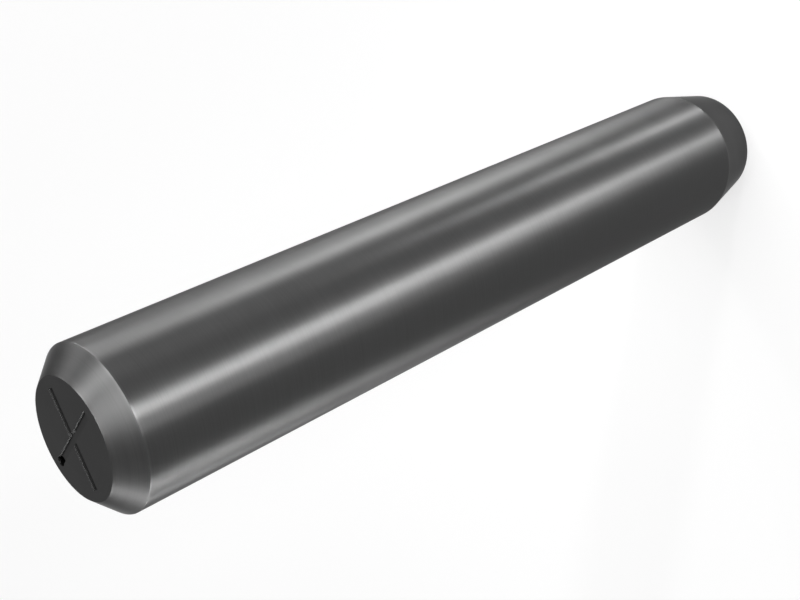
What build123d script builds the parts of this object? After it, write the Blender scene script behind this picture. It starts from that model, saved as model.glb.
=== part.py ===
"""One-piece steel locking stud, modelled standing on its locking end.

The stud is turned from round bar. Its upper end, the nut end, has a 45 degree chamfer, and a
cross of two shallow grooves is cut in its flat face, with a small drilled dot at the end of one
arm. The cross shows which end stays up when the stud is driven. The lower end, the locking end,
runs in by a long slow taper to a smaller flat face.

Frame: the origin is the centre of the locking end's flat face, and +Z runs up along the stud's
axis to the marked face. All lengths are in millimetres and all angles in degrees.
"""

import os
from math import radians, tan

from build123d import *

# Turned profile
SHANK_DIAMETER = 16.0
OVERALL_LENGTH = 95.0
NUT_END_CHAMFER = 2.2
LOCK_TAPER_LENGTH = 6.6
LOCK_TAPER_ANGLE = 12.4
EDGE_BREAK_RADIUS = 0.05

# Cross and dot in the nut end's face
GROOVE_WIDTH = 0.8
GROOVE_DEPTH = 0.2
GROOVE_WALL_DRAFT = 30.0
GROOVE_END_TO_RIM = 1.1
FIRST_GROOVE_ANGLE = -3.4
SECOND_GROOVE_ANGLE = 106.0
DOT_DIAMETER = 0.95
DOT_INSET = 0.2
DOT_DEPTH = 0.7
DOT_POINT_ANGLE = 118.0

SHANK_RADIUS = SHANK_DIAMETER / 2
NUT_FACE_RADIUS = SHANK_RADIUS - NUT_END_CHAMFER
LOCK_FACE_RADIUS = SHANK_RADIUS - LOCK_TAPER_LENGTH * tan(radians(LOCK_TAPER_ANGLE))
GROOVE_REACH = NUT_FACE_RADIUS - GROOVE_END_TO_RIM


def turned_blank():
    """The stud as it leaves the lathe: half of its section, revolved about the axis."""
    outline = Polyline(
        (0, 0),
        (LOCK_FACE_RADIUS, 0),
        (SHANK_RADIUS, LOCK_TAPER_LENGTH),
        (SHANK_RADIUS, OVERALL_LENGTH - NUT_END_CHAMFER),
        (NUT_FACE_RADIUS, OVERALL_LENGTH),
        (0, OVERALL_LENGTH),
        close=True,
    )
    half_section = make_face(outline)
    turned_corners = [corner for corner in half_section.vertices() if corner.X > 0]
    half_section = fillet(turned_corners, EDGE_BREAK_RADIUS)
    return revolve(Plane.XZ * half_section, axis=Axis.Z)


def groove(angle):
    """What the graver takes out for one groove: square ends, and walls that lean well out."""
    across_the_groove = Plane(origin=(0, 0, OVERALL_LENGTH), x_dir=(0, -1, 0), z_dir=(1, 0, 0))
    section = Trapezoid(
        GROOVE_WIDTH,
        GROOVE_DEPTH,
        90 - GROOVE_WALL_DRAFT,
        align=(Align.CENTER, Align.MIN),
    )
    return Rot(Z=angle) * extrude(across_the_groove * section, GROOVE_REACH, both=True)


def drilled_dot():
    """What the drill takes out at the end of the second groove: a short hole with its point.

    The hole is a little wider than the groove and swallows its square end.
    """
    radius = DOT_DIAMETER / 2
    point_height = radius / tan(radians(DOT_POINT_ANGLE / 2))
    hanging = (Align.CENTER, Align.CENTER, Align.MAX)
    wall = Cylinder(radius, DOT_DEPTH, align=hanging)
    point = Pos(Z=-DOT_DEPTH) * Cone(0, radius, point_height, align=hanging)
    place = Pos(X=GROOVE_REACH - DOT_INSET, Z=OVERALL_LENGTH)
    return Rot(Z=SECOND_GROOVE_ANGLE) * place * (wall + point)


def build_stud():
    """The finished stud: the turned blank with the cross and the dot cut into its nut end."""
    return turned_blank() - groove(FIRST_GROOVE_ANGLE) - groove(SECOND_GROOVE_ANGLE) - drilled_dot()


os.makedirs("parts", exist_ok=True)
export_step(build_stud(), "parts/stud.step")
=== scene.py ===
"""Dark ground-steel locking stud, standing on its locking end on a plain pale floor.

Everything is in metres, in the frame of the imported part: the origin is the centre of the lower
end's face, and +Z runs up along the stud to the marked face.
"""
import math

import bmesh
import bpy
from mathutils import Matrix, Vector


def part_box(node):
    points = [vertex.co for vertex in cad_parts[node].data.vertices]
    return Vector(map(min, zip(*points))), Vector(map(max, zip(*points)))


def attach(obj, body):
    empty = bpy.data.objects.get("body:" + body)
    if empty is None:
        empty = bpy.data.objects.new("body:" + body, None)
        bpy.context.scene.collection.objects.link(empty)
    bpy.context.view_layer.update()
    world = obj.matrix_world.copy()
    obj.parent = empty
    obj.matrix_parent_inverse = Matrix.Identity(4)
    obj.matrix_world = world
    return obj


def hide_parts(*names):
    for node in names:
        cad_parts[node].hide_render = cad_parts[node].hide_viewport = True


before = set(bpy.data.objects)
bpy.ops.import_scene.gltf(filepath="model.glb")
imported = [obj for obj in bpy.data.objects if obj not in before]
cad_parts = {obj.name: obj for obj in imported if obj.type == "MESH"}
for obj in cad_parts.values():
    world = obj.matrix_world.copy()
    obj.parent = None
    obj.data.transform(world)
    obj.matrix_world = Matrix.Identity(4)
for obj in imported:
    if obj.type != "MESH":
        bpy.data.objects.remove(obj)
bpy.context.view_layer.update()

MM = 0.001
MICRON = 0.001 * MM

# Turned profile of the stud, from the frame's box and the part's own sizes
low_corner, high_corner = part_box("stud")
SHANK_RADIUS = (high_corner.x - low_corner.x) / 2
OVERALL_LENGTH = high_corner.z - low_corner.z
NUT_END_CHAMFER = 2.2 * MM
LOCK_TAPER_LENGTH = 6.6 * MM
LOCK_TAPER_ANGLE = math.radians(12.4)
EDGE_BREAK_RADIUS = 0.03 * MM
NUT_FACE_RADIUS = SHANK_RADIUS - NUT_END_CHAMFER
LOCK_FACE_RADIUS = SHANK_RADIUS - LOCK_TAPER_LENGTH * math.tan(LOCK_TAPER_ANGLE)
CHAMFER_START = OVERALL_LENGTH - NUT_END_CHAMFER

# Cross and dot in the nut end's face
GROOVE_WIDTH = 0.8 * MM
GROOVE_DEPTH = 0.2 * MM
GROOVE_WALL_DRAFT = math.radians(30)
GROOVE_END_TO_RIM = 1.1 * MM
GROOVE_REACH = NUT_FACE_RADIUS - GROOVE_END_TO_RIM
FIRST_GROOVE_ANGLE = math.radians(-3.4)
SECOND_GROOVE_ANGLE = math.radians(106)
DOT_RADIUS = 0.475 * MM
DOT_INSET = 0.2 * MM
DOT_DEPTH = 0.7 * MM
DOT_POINT_ANGLE = math.radians(118)
DOT_POINT_DEPTH = DOT_RADIUS / math.tan(DOT_POINT_ANGLE / 2)
DOT_FULL_DEPTH = DOT_DEPTH + DOT_POINT_DEPTH
DOT_PLACE = Matrix.Rotation(SECOND_GROOVE_ANGLE, 3, "Z") @ Vector((GROOVE_REACH - DOT_INSET, 0, 0))
CUT_OVERSHOOT = 0.4 * MM

# Fineness of the stud's mesh, and its smoothing
SEGMENTS_ROUND = 256
SHANK_ROWS = 72
TAPER_ROWS = 6
CHAMFER_ROWS = 3
FACE_RINGS = 6
CORNER_STEPS = 4
DOT_SEGMENTS = 48
SHARP_ANGLE = math.radians(35)

# What counts as lying on a surface, and how upright the normal of a level face is
TINY = MICRON
LEVEL_NORMAL = 0.99

# Flat layout of the surfaces, in shares of its width: where the unrolled side starts, the two
# ends' discs, and how much the depth of a cut draws its walls in toward the middle
MAP_SIDE_START = 0.15
MAP_DISC_RADIUS = 0.065
MAP_DISC_SCALE = MAP_DISC_RADIUS / LOCK_FACE_RADIUS
MAP_FACE_CENTRE = Vector((0.08, 0.07))
MAP_FOOT_CENTRE = Vector((0.24, 0.07))
MAP_DRAWN_IN = 0.5

# Steel: the reach of its lines round the axis, its clouds and worn corners, and how much each
# of the three changes the steel's colour and its roughness
LINE_REACH = 30 * MM
LINE_DETAIL = 3.0
CLOUD_SIZE = 5 * MM
CLOUD_DETAIL = 2.0
NOISE_ROUGHNESS = 0.6
WEAR_WIDTH = 0.25 * MM
LINE_TINT, CLOUD_TINT, WEAR_TINT = 0.26, 0.2, 0.16
LINE_ROUGHNESS, CLOUD_ROUGHNESS, WEAR_ROUGHNESS = 0.18, 0.18, -0.12

# Gloss that is drawn out along the axis, across the lines round it: a quarter of a whole turn
GLOSS_TURN = 0.25

# Camera
CAMERA_POSITION = Vector((-1.24, -102.26, 137.99)) * MM
CAMERA_LOOKS_DOWN = math.radians(38.45)
CAMERA_ROLL = math.radians(-115.46)
CAMERA_VIEW_WIDTH = math.radians(35)
CAMERA_NEAR_LIMIT = 5 * MM

# Studio: the soft lamps, and the gridded spots, which are closer, a few degrees up, and aimed at
# the top, the middle or the foot of the stud
LAMP_DISTANCE = 1.2
SPOT_DISTANCE = 0.6
SPOT_LIFT = 6
SPOT_CONE = math.radians(10)
SPOT_RADIUS = 0.03
TOP_HEIGHT = OVERALL_LENGTH
MIDDLE_HEIGHT = 50 * MM
FOOT_HEIGHT = 0
FLOOR_SIZE = 8.0
FLOOR_COLOUR = 0.94
FLOOR_GLOW = 0.7
WORLD_LEVEL = 0.2


def rounded_profile():
    """Points (radius, height) up one side of the stud, with every corner broken by a small arc."""
    corners = [
        Vector((0, 0)),
        Vector((LOCK_FACE_RADIUS, 0)),
        Vector((SHANK_RADIUS, LOCK_TAPER_LENGTH)),
        Vector((SHANK_RADIUS, CHAMFER_START)),
        Vector((NUT_FACE_RADIUS, OVERALL_LENGTH)),
        Vector((0, OVERALL_LENGTH)),
    ]
    rows = [FACE_RINGS, TAPER_ROWS, SHANK_ROWS, CHAMFER_ROWS]
    points = []
    start = corners[0]
    for before, corner, after, steps in zip(corners, corners[1:], corners[2:], rows):
        back = (before - corner).normalized()
        ahead = (after - corner).normalized()
        half_angle = back.angle(ahead) / 2
        setback = EDGE_BREAK_RADIUS / math.tan(half_angle)
        centre = corner + (back + ahead).normalized() * EDGE_BREAK_RADIUS / math.sin(half_angle)
        first = corner + back * setback
        last = corner + ahead * setback
        points += [start.lerp(first, step / steps) for step in range(steps)]
        for step in range(CORNER_STEPS):
            chord = first.lerp(last, step / CORNER_STEPS)
            points.append(centre + (chord - centre).normalized() * EDGE_BREAK_RADIUS)
        start = last
    points.append(start)
    return points


def turned_mesh():
    """The plain turned stud: the profile swept round, with one flat face on top."""
    mesh = bmesh.new()
    profile = rounded_profile()
    foot = mesh.verts.new((0, 0, 0))
    rings = []
    for radius, height in profile[1:]:
        ring = []
        for segment in range(SEGMENTS_ROUND):
            angle = math.tau * segment / SEGMENTS_ROUND
            ring.append(mesh.verts.new((radius * math.cos(angle), radius * math.sin(angle), height)))
        rings.append(ring)
    for segment in range(SEGMENTS_ROUND):
        following = (segment + 1) % SEGMENTS_ROUND
        mesh.faces.new((foot, rings[0][following], rings[0][segment]))
        for lower, upper in zip(rings, rings[1:]):
            mesh.faces.new((lower[segment], lower[following], upper[following], upper[segment]))
    mesh.faces.new(rings[-1])
    mesh.normal_update()
    return mesh


def object_from(mesh, name):
    """A new object that holds the given mesh."""
    data = bpy.data.meshes.new(name)
    mesh.to_mesh(data)
    mesh.free()
    piece = bpy.data.objects.new(name, data)
    bpy.context.scene.collection.objects.link(piece)
    return piece


def groove_cutter(name, angle):
    """A bar across the face with leaning walls, which reaches a little above the face."""
    lean = math.tan(GROOVE_WALL_DRAFT)
    mesh = bmesh.new()
    rings = []
    for depth in (-CUT_OVERSHOOT, GROOVE_DEPTH):
        half_width = GROOVE_WIDTH / 2 - depth * lean
        ring = []
        for along, across in ((-1, -1), (1, -1), (1, 1), (-1, 1)):
            place = Vector((along * GROOVE_REACH, across * half_width, OVERALL_LENGTH - depth))
            ring.append(mesh.verts.new(Matrix.Rotation(angle, 3, "Z") @ place))
        rings.append(ring)
    top, floor = rings
    mesh.faces.new(top)
    mesh.faces.new(list(reversed(floor)))
    for side in range(len(top)):
        following = (side + 1) % len(top)
        mesh.faces.new((floor[side], floor[following], top[following], top[side]))
    bmesh.ops.recalc_face_normals(mesh, faces=mesh.faces)
    return object_from(mesh, name)


def dot_cutter(name):
    """A short drill with its point down, at the end of the second groove."""
    mesh = bmesh.new()
    place = DOT_PLACE + Vector((0, 0, OVERALL_LENGTH))
    tip = mesh.verts.new(place - Vector((0, 0, DOT_FULL_DEPTH)))
    rings = []
    for depth in (DOT_DEPTH, -CUT_OVERSHOOT):
        ring = []
        for segment in range(DOT_SEGMENTS):
            angle = math.tau * segment / DOT_SEGMENTS
            spoke = Vector((math.cos(angle), math.sin(angle), 0)) * DOT_RADIUS
            ring.append(mesh.verts.new(place + spoke - Vector((0, 0, depth))))
        rings.append(ring)
    shoulder, top = rings
    mesh.faces.new(top)
    for segment in range(DOT_SEGMENTS):
        following = (segment + 1) % DOT_SEGMENTS
        mesh.faces.new((tip, shoulder[following], shoulder[segment]))
        mesh.faces.new((shoulder[segment], shoulder[following], top[following], top[segment]))
    bmesh.ops.recalc_face_normals(mesh, faces=mesh.faces)
    return object_from(mesh, name)


def apply_modifiers(piece):
    """Gives the piece its mesh as its modifiers leave it, and clears them."""
    graph = bpy.context.evaluated_depsgraph_get()
    applied = bpy.data.meshes.new_from_object(piece.evaluated_get(graph))
    piece.modifiers.clear()
    piece.data = applied


def cut_mark(piece):
    """Cuts the cross and the dot into the nut end's face."""
    cutters = [
        groove_cutter("first_groove_cutter", FIRST_GROOVE_ANGLE),
        groove_cutter("second_groove_cutter", SECOND_GROOVE_ANGLE),
        dot_cutter("dot_cutter"),
    ]
    for cutter in cutters:
        cut = piece.modifiers.new(cutter.name, "BOOLEAN")
        cut.operation = "DIFFERENCE"
        cut.solver = "EXACT"
        cut.object = cutter
    apply_modifiers(piece)
    for cutter in cutters:
        bpy.data.objects.remove(cutter)
    mesh = bmesh.new()
    mesh.from_mesh(piece.data)
    bmesh.ops.remove_doubles(mesh, verts=mesh.verts, dist=TINY)
    mesh.to_mesh(piece.data)
    mesh.free()


def build_stud():
    """The visible stud: the turned body with the mark cut in, smooth, with crisp corners."""
    piece = object_from(turned_mesh(), "ground_stud")
    cut_mark(piece)
    for face in piece.data.polygons:
        face.use_smooth = True
    piece.data.set_sharp_from_angle(angle=SHARP_ANGLE)
    weighted = piece.modifiers.new("weighted_normals", "WEIGHTED_NORMAL")
    weighted.keep_sharp = True
    apply_modifiers(piece)
    return piece


def surface_of(face):
    """The name of the finish that a face of the stud has, by where it lies."""
    middle = face.center
    if middle.z > OVERALL_LENGTH - TINY or middle.z < TINY:
        return "faced_ends"
    if middle.z > CHAMFER_START and middle.xy.length < NUT_FACE_RADIUS - EDGE_BREAK_RADIUS * 2:
        if (middle.xy - DOT_PLACE.xy).length < DOT_RADIUS + TINY:
            return "drilled_dot"
        return "faced_ends" if face.normal.z > LEVEL_NORMAL else "groove_walls"
    if middle.z < LOCK_TAPER_LENGTH:
        return "turned_taper"
    if middle.z > CHAMFER_START:
        return "turned_chamfer"
    return "ground_shank"


def place_on_map(corner, surface, middle_turn):
    """Where a corner of a face lies on the flat layout of the surfaces.

    The turned side is unrolled above, with the first coordinate round the axis. The two ends lie
    below it as discs, with what is cut into the marked end drawn in a little with its depth.
    """
    if surface in ("ground_shank", "turned_chamfer", "turned_taper"):
        turn = math.atan2(corner.y, corner.x) / math.tau
        # Within half a turn of the face's middle, so that no face is torn where the turns begin
        turn = (turn - middle_turn + 0.5) % 1 - 0.5 + middle_turn
        bottom = -LOCK_FACE_RADIUS
        top = OVERALL_LENGTH - NUT_FACE_RADIUS
        rise = (corner.z - corner.xy.length - bottom) / (top - bottom)
        return turn, MAP_SIDE_START + rise * (1 - MAP_SIDE_START)
    depth = OVERALL_LENGTH - corner.z
    if depth > OVERALL_LENGTH / 2:
        disc, flat = MAP_FOOT_CENTRE, corner.xy
    elif surface == "drilled_dot":
        narrowed = 1 - depth / DOT_FULL_DEPTH * MAP_DRAWN_IN
        disc, flat = MAP_FACE_CENTRE, DOT_PLACE.xy.lerp(corner.xy, narrowed)
    else:
        narrowed = 1 - depth / GROOVE_REACH * MAP_DRAWN_IN
        disc, flat = MAP_FACE_CENTRE, corner.xy * narrowed
    return disc + flat * MAP_DISC_SCALE


def lay_out_map(piece):
    """Gives the piece the flat layout that its finish is baked on."""
    mesh = piece.data
    layout = mesh.uv_layers.new(name="OFBake").uv
    for face in mesh.polygons:
        surface = surface_of(face)
        middle_turn = math.atan2(face.center.y, face.center.x) / math.tau % 1
        for loop in face.loop_indices:
            corner = mesh.vertices[mesh.loops[loop].vertex_index].co
            layout[loop].vector = place_on_map(corner, surface, middle_turn)


def add_node(tree, kind, inputs, **settings):
    """A new node, with its settings made, and each input set to a value or linked to a socket."""
    made = tree.nodes.new(kind)
    for name, value in settings.items():
        setattr(made, name, value)
    for name, value in inputs.items():
        if isinstance(value, bpy.types.NodeSocket):
            tree.links.new(value, made.inputs[name])
        else:
            made.inputs[name].default_value = value
    return made


def maths(tree, operation, first, second=0.0, third=0.0):
    """The result of one Math node."""
    inputs = {0: first, 1: second, 2: third}
    return add_node(tree, "ShaderNodeMath", inputs, operation=operation).outputs[0]


def noise(tree, place, scale, detail):
    """Noise about zero, mostly within a half either way."""
    inputs = {"Vector": place, "Scale": scale, "Detail": detail, "Roughness": NOISE_ROUGHNESS}
    level = add_node(tree, "ShaderNodeTexNoise", inputs).outputs["Fac"]
    return maths(tree, "SUBTRACT", level, 0.5)


def worn_corners(tree, radius, height):
    """One right at the stud's four turned corners, fading to zero a fraction of a millimetre away."""
    point = add_node(tree, "ShaderNodeCombineXYZ", {"X": radius, "Y": height}).outputs[0]
    nearest = WEAR_WIDTH
    for corner in (
        (LOCK_FACE_RADIUS, 0, 0),
        (SHANK_RADIUS, LOCK_TAPER_LENGTH, 0),
        (SHANK_RADIUS, CHAMFER_START, 0),
        (NUT_FACE_RADIUS, OVERALL_LENGTH, 0),
    ):
        away = add_node(tree, "ShaderNodeVectorMath", {0: point, 1: corner}, operation="DISTANCE")
        nearest = maths(tree, "MINIMUM", away.outputs["Value"], nearest)
    return maths(tree, "MULTIPLY_ADD", nearest, -1 / WEAR_WIDTH, 1.0)


def steel(name, colour, edge_tint, roughness, line_width, line_depth, anisotropy=0.0):
    """Dark steel as the tool left it: fine lines round the axis, in its colour, gloss and relief.

    The lines run round the shank and the tapers, and are rings on the end faces. Soft clouds and
    slightly burnished corners break them up. edge_tint holds back what is seen at a low angle.
    """
    material = bpy.data.materials.new(name)
    material.use_nodes = True
    tree = material.node_tree
    shader = tree.nodes["Principled BSDF"]
    shader.inputs["Metallic"].default_value = 1.0
    shader.inputs["Specular Tint"].default_value = (edge_tint, edge_tint, edge_tint, 1)
    place = add_node(tree, "ShaderNodeTexCoord", {}).outputs["Object"]
    split = add_node(tree, "ShaderNodeSeparateXYZ", {0: place}).outputs
    flat = add_node(tree, "ShaderNodeCombineXYZ", {"X": split["X"], "Y": split["Y"]}).outputs[0]
    radius = add_node(tree, "ShaderNodeVectorMath", {0: flat}, operation="LENGTH").outputs["Value"]
    along = maths(tree, "SUBTRACT", split["Z"], radius)
    lay = add_node(
        tree,
        "ShaderNodeCombineXYZ",
        {
            "X": maths(tree, "DIVIDE", split["X"], LINE_REACH),
            "Y": maths(tree, "DIVIDE", split["Y"], LINE_REACH),
            "Z": maths(tree, "DIVIDE", along, line_width),
        },
    ).outputs[0]
    lines = noise(tree, lay, 1.0, LINE_DETAIL)
    clouds = noise(tree, place, 1 / CLOUD_SIZE, CLOUD_DETAIL)
    wear = worn_corners(tree, radius, split["Z"])
    for socket, level, line_share, cloud_share, wear_share in (
        ("Base Color", colour, LINE_TINT, CLOUD_TINT, WEAR_TINT),
        ("Roughness", roughness, LINE_ROUGHNESS, CLOUD_ROUGHNESS, WEAR_ROUGHNESS),
    ):
        share = maths(tree, "MULTIPLY_ADD", clouds, cloud_share, 1.0)
        share = maths(tree, "MULTIPLY_ADD", lines, line_share, share)
        share = maths(tree, "MULTIPLY_ADD", wear, wear_share, share)
        tree.links.new(maths(tree, "MULTIPLY", share, level), shader.inputs[socket])
    relief = add_node(tree, "ShaderNodeBump", {"Height": lines, "Distance": line_depth})
    tree.links.new(relief.outputs["Normal"], shader.inputs["Normal"])
    if anisotropy:
        shader.inputs["Anisotropic"].default_value = anisotropy
        shader.inputs["Anisotropic Rotation"].default_value = GLOSS_TURN
        tangent = add_node(tree, "ShaderNodeTangent", {}, direction_type="RADIAL", axis="Z")
        tree.links.new(tangent.outputs["Tangent"], shader.inputs["Tangent"])
    return material


def add_camera():
    """The photograph's camera: close to the marked end, looking down past it, and rolled."""
    data = bpy.data.cameras.new("camera")
    data.sensor_fit = "HORIZONTAL"
    data.angle = CAMERA_VIEW_WIDTH
    data.clip_start = CAMERA_NEAR_LIMIT
    camera = bpy.data.objects.new("camera", data)
    tilt = Matrix.Rotation(math.pi / 2 - CAMERA_LOOKS_DOWN, 4, "X")
    roll = Matrix.Rotation(CAMERA_ROLL, 4, "Z")
    camera.matrix_world = Matrix.Translation(CAMERA_POSITION) @ tilt @ roll
    bpy.context.scene.collection.objects.link(camera)
    bpy.context.scene.camera = camera


def add_floor():
    """A plain pale floor under the stud. Seen directly or in a reflection, it also glows white."""
    mesh = bmesh.new()
    bmesh.ops.create_grid(mesh, x_segments=1, y_segments=1, size=FLOOR_SIZE / 2)
    floor = object_from(mesh, "floor")
    material = bpy.data.materials.new("pale_floor")
    material.use_nodes = True
    tree = material.node_tree
    shader = tree.nodes["Principled BSDF"]
    shader.inputs["Base Color"].default_value = (FLOOR_COLOUR, FLOOR_COLOUR, FLOOR_COLOUR, 1)
    shader.inputs["Roughness"].default_value = 1.0
    shader.inputs["Specular IOR Level"].default_value = 0.0
    rays = add_node(tree, "ShaderNodeLightPath", {}).outputs
    direct = maths(tree, "ADD", rays["Is Camera Ray"], rays["Is Glossy Ray"])
    seen = maths(tree, "ADD", direct, rays["Is Transmission Ray"])
    glow = maths(tree, "MULTIPLY", seen, FLOOR_GLOW)
    white = add_node(tree, "ShaderNodeEmission", {"Color": (1, 1, 1, 1), "Strength": 1.0})
    layers = {0: glow, 1: shader.outputs[0], 2: white.outputs[0]}
    mixed = add_node(tree, "ShaderNodeMixShader", layers)
    tree.links.new(mixed.outputs[0], tree.nodes["Material Output"].inputs["Surface"])
    floor.data.materials.append(material)


def hang_lamp(data, azimuth, lift, distance, target_height):
    """Puts a lamp in place, facing a point on the stud's axis. azimuth and lift are in degrees."""
    lamp = bpy.data.objects.new(data.name, data)
    turned = Matrix.Rotation(math.radians(azimuth), 3, "Z")
    lifted = Matrix.Rotation(-math.radians(lift), 3, "Y")
    outward = turned @ lifted @ Vector((1, 0, 0))
    lamp.location = Vector((0, 0, target_height)) + outward * distance
    lamp.rotation_euler = outward.to_track_quat("Z", "Y").to_euler()
    bpy.context.scene.collection.objects.link(lamp)


def add_lamp(name, azimuth, lift, width, height, strength):
    """A soft rectangular lamp that faces the stud.

    azimuth and lift say where it hangs, and width and height how large it looks, all in degrees as
    seen from the stud. strength is the light that a card facing the lamp would get.
    """
    data = bpy.data.lights.new(name, "AREA")
    data.shape = "RECTANGLE"
    data.size = 2 * LAMP_DISTANCE * math.tan(math.radians(width) / 2)
    data.size_y = 2 * LAMP_DISTANCE * math.tan(math.radians(height) / 2)
    data.energy = strength * math.pi * LAMP_DISTANCE**2
    hang_lamp(data, azimuth, lift, LAMP_DISTANCE, OVERALL_LENGTH / 2)


def add_spot(name, azimuth, target_height, strength):
    """A gridded lamp whose soft-edged beam reaches only about half of the stud's length."""
    data = bpy.data.lights.new(name, "SPOT")
    data.spot_size = SPOT_CONE
    data.spot_blend = 1.0
    data.shadow_soft_size = SPOT_RADIUS
    data.energy = strength * 4 * math.pi * SPOT_DISTANCE**2
    hang_lamp(data, azimuth, SPOT_LIFT, SPOT_DISTANCE, target_height)


def add_world():
    """An even dim room light."""
    world = bpy.data.worlds.new("room")
    world.use_nodes = True
    background = world.node_tree.nodes["Background"]
    background.inputs["Color"].default_value = (1, 1, 1, 1)
    background.inputs["Strength"].default_value = WORLD_LEVEL
    bpy.context.scene.world = world


def finish_stud(piece):
    """Gives each face of the stud its finish, by the surface that it lies on."""
    finishes = [
        steel("ground_shank", colour=0.081, edge_tint=0.6, roughness=0.447,
              line_width=0.16 * MM, line_depth=0.3 * MICRON, anisotropy=0.93),
        steel("turned_chamfer", colour=0.12, edge_tint=0.5, roughness=0.346,
              line_width=0.2 * MM, line_depth=0.4 * MICRON),
        # Painted shade: the taper's colour and edge tint are set lower than the chamfer's, to darken
        # its reflection of the floor round the foot
        steel("turned_taper", colour=0.094, edge_tint=0.42, roughness=0.346,
              line_width=0.2 * MM, line_depth=0.4 * MICRON),
        steel("faced_ends", colour=0.111, edge_tint=1.0, roughness=0.346,
              line_width=0.25 * MM, line_depth=0.4 * MICRON),
        # Painted shade: the groove walls get a much darker colour and a lower edge tint than the
        # face, for the shade in the grooves
        steel("groove_walls", colour=0.041, edge_tint=0.4, roughness=0.63,
              line_width=0.2 * MM, line_depth=0.1 * MICRON),
        # Painted shade: the drilled dot is given a nearly black colour, for the shade in the pit
        steel("drilled_dot", colour=0.02, edge_tint=0.4, roughness=0.6,
              line_width=0.2 * MM, line_depth=0.4 * MICRON),
    ]
    place_in_list = {}
    for index, finish in enumerate(finishes):
        piece.data.materials.append(finish)
        place_in_list[finish.name] = index
    for face in piece.data.polygons:
        face.material_index = place_in_list[surface_of(face)]


add_camera()
add_floor()
add_world()

# Soft lamps: azimuth, lift, width and height in degrees, and strength
add_lamp("overhead", 0, 88, 20, 15, 0.92)
add_lamp("front_top", -90, 57, 20, 15, 0.25)
add_lamp("front_right_top", -60, 57, 20, 15, 0.36)
add_lamp("right_top", 0, 57, 20, 15, 0.43)
add_lamp("right_front_soft", -30, 40, 20, 15, 0.74)
add_lamp("right_strip", 8, 10, 5, 16, 1.1)
add_lamp("back_right", 30, 32, 20, 15, 0.12)
add_lamp("back_left", 143, 26, 16, 15, 0.23)

# Gridded spots: azimuth in degrees, the height that they aim at, and strength. The streaks along
# the shank change where the light of one group gives way to the next.
add_spot("high_front_left_spot", -112, TOP_HEIGHT, 0.71)
add_spot("high_front_spot", -94, TOP_HEIGHT, 2.9)
add_spot("high_right_spot", 30, TOP_HEIGHT, 0.61)
add_spot("high_back_left_spot", 148, TOP_HEIGHT, 1.4)
add_spot("high_left_back_spot", 164, TOP_HEIGHT, 1.1)
add_spot("high_left_spot", 172, TOP_HEIGHT, 1.5)
add_spot("high_left_front_spot", 180, TOP_HEIGHT, 0.48)
add_spot("middle_front_left_spot", -98, MIDDLE_HEIGHT, 1.3)
add_spot("middle_front_spot", -88, MIDDLE_HEIGHT, 3.3)
add_spot("middle_front_right_spot", -14, MIDDLE_HEIGHT, 0.85)
add_spot("middle_right_front_spot", -8, MIDDLE_HEIGHT, 1.7)
add_spot("middle_right_spot", -2, MIDDLE_HEIGHT, 1.7)
add_spot("middle_right_back_spot", 18, MIDDLE_HEIGHT, 0.92)
add_spot("low_front_spot", -84, FOOT_HEIGHT, 2.9)
add_spot("low_right_front_spot", -41, FOOT_HEIGHT, 4.1)
add_spot("low_right_spot", 4, FOOT_HEIGHT, 0.67)

stud = build_stud()
finish_stud(stud)
lay_out_map(stud)
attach(stud, "root")
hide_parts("stud")

bpy.context.scene.view_settings.view_transform = "Standard"
